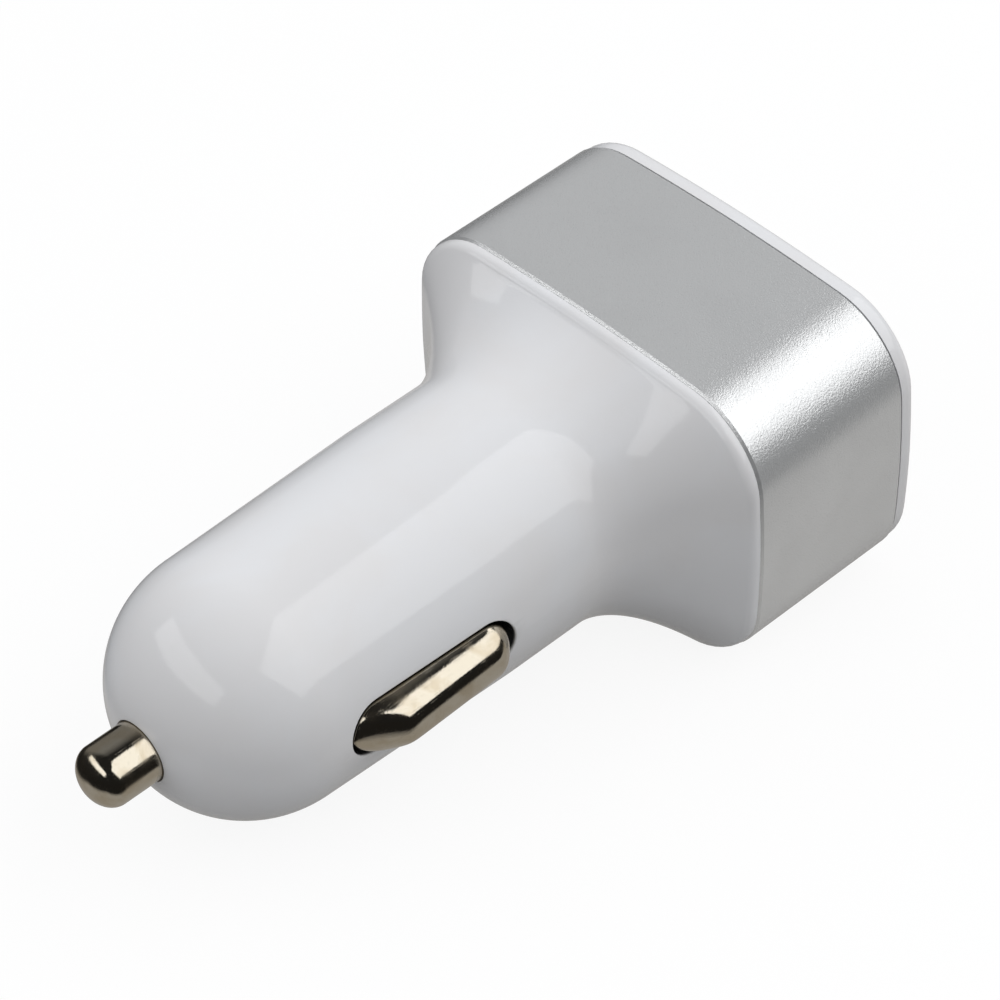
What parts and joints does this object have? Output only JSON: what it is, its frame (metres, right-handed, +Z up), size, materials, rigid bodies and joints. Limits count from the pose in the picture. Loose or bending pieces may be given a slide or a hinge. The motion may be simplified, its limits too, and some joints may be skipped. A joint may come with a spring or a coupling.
{
  "type": "car usb charger plug",
  "caption": "Charger plug for a vehicle's lighter socket: domed barrel, sprung centre pin and side contacts, flared neck, rectangular head with USB ports.",
  "frame": {"origin": "on the plug's axis, at the head end of the round seat, where the neck begins to flare", "axes": "-X along the plug towards its tip, +X out of the port face, Y along the head's long side, through both side contacts, +Z up"},
  "size_m": [0.0646, 0.0352, 0.0252],
  "materials": {
    "white_gloss_plastic": "glossy moulded white plastic with a faint cool tint",
    "anodised_aluminium": "bead-blasted and anodised, bright cut edges",
    "nickel_plate": "polished nickel plating with a warm tint",
    "spring_steel": "drawn spring wire",
    "brass": "stamped brass strip",
    "circuit_board": "glass-fibre board with solder mask",
    "black_plastic": "moulded epoxy or nylon",
    "ferrite": "pressed ferrite",
    "enamelled_copper": "enamelled copper wire",
    "capacitor_can": "aluminium can in a plain sleeve",
    "fuse_body": "ceramic tube with tinned caps",
    "port_steel": "nickel-plated folded steel",
    "port_plastic": "white insulator",
    "gold_pads": "gold-plated pads",
    "lamp_resin": "small lamp body",
    "clear_pipe": "clear light pipe"
  },
  "bodies": {
    "body": {"housing": "white_gloss_plastic", "trim_band": "anodised_aluminium", "face_plate": "white_gloss_plastic", "light_pipe": "clear_pipe", "pin_spring": "spring_steel", "positive_terminal": "brass", "left_contact_spring": "spring_steel", "left_terminal": "brass", "right_contact_spring": "spring_steel", "right_terminal": "brass", "main_board": "circuit_board", "port_board": "circuit_board", "board_header": "black_plastic", "inductor_core": "ferrite", "inductor_winding": "enamelled_copper", "input_capacitor": "capacitor_can", "output_capacitor": "capacitor_can", "converter_chip": "black_plastic", "diode": "black_plastic", "fuse": "fuse_body", "status_led": "lamp_resin", "usb_shell_1": "port_steel", "usb_tongue_1": "port_plastic", "usb_contacts_1": "gold_pads", "usb_shell_2": "port_steel", "usb_tongue_2": "port_plastic", "usb_contacts_2": "gold_pads", "usb_shell_3": "port_steel", "usb_tongue_3": "port_plastic", "usb_contacts_3": "gold_pads"},
    "centre_pin": {"centre_pin": "nickel_plate"},
    "left_contact": {"left_contact": "nickel_plate"},
    "right_contact": {"right_contact": "nickel_plate"}
  },
  "joints": [
    {"name": "centre_pin_slide", "type": "slide", "parent": "body", "child": "centre_pin", "axis": [1, 0, 0], "range_m": [0, 0.0032], "stiffness_N_per_m": 500, "springref_m": -0.002, "deforming": ["pin_spring"]},
    {"name": "left_contact_slide", "type": "slide", "parent": "body", "child": "left_contact", "axis": [0, -1, 0], "range_m": [0, 0.0018], "stiffness_N_per_m": 800, "springref_m": -0.001, "deforming": ["left_contact_spring"]},
    {"name": "right_contact_slide", "type": "slide", "parent": "body", "child": "right_contact", "axis": [0, 1, 0], "range_m": [0, 0.0018], "stiffness_N_per_m": 800, "springref_m": -0.001, "deforming": ["right_contact_spring"]}
  ]
}
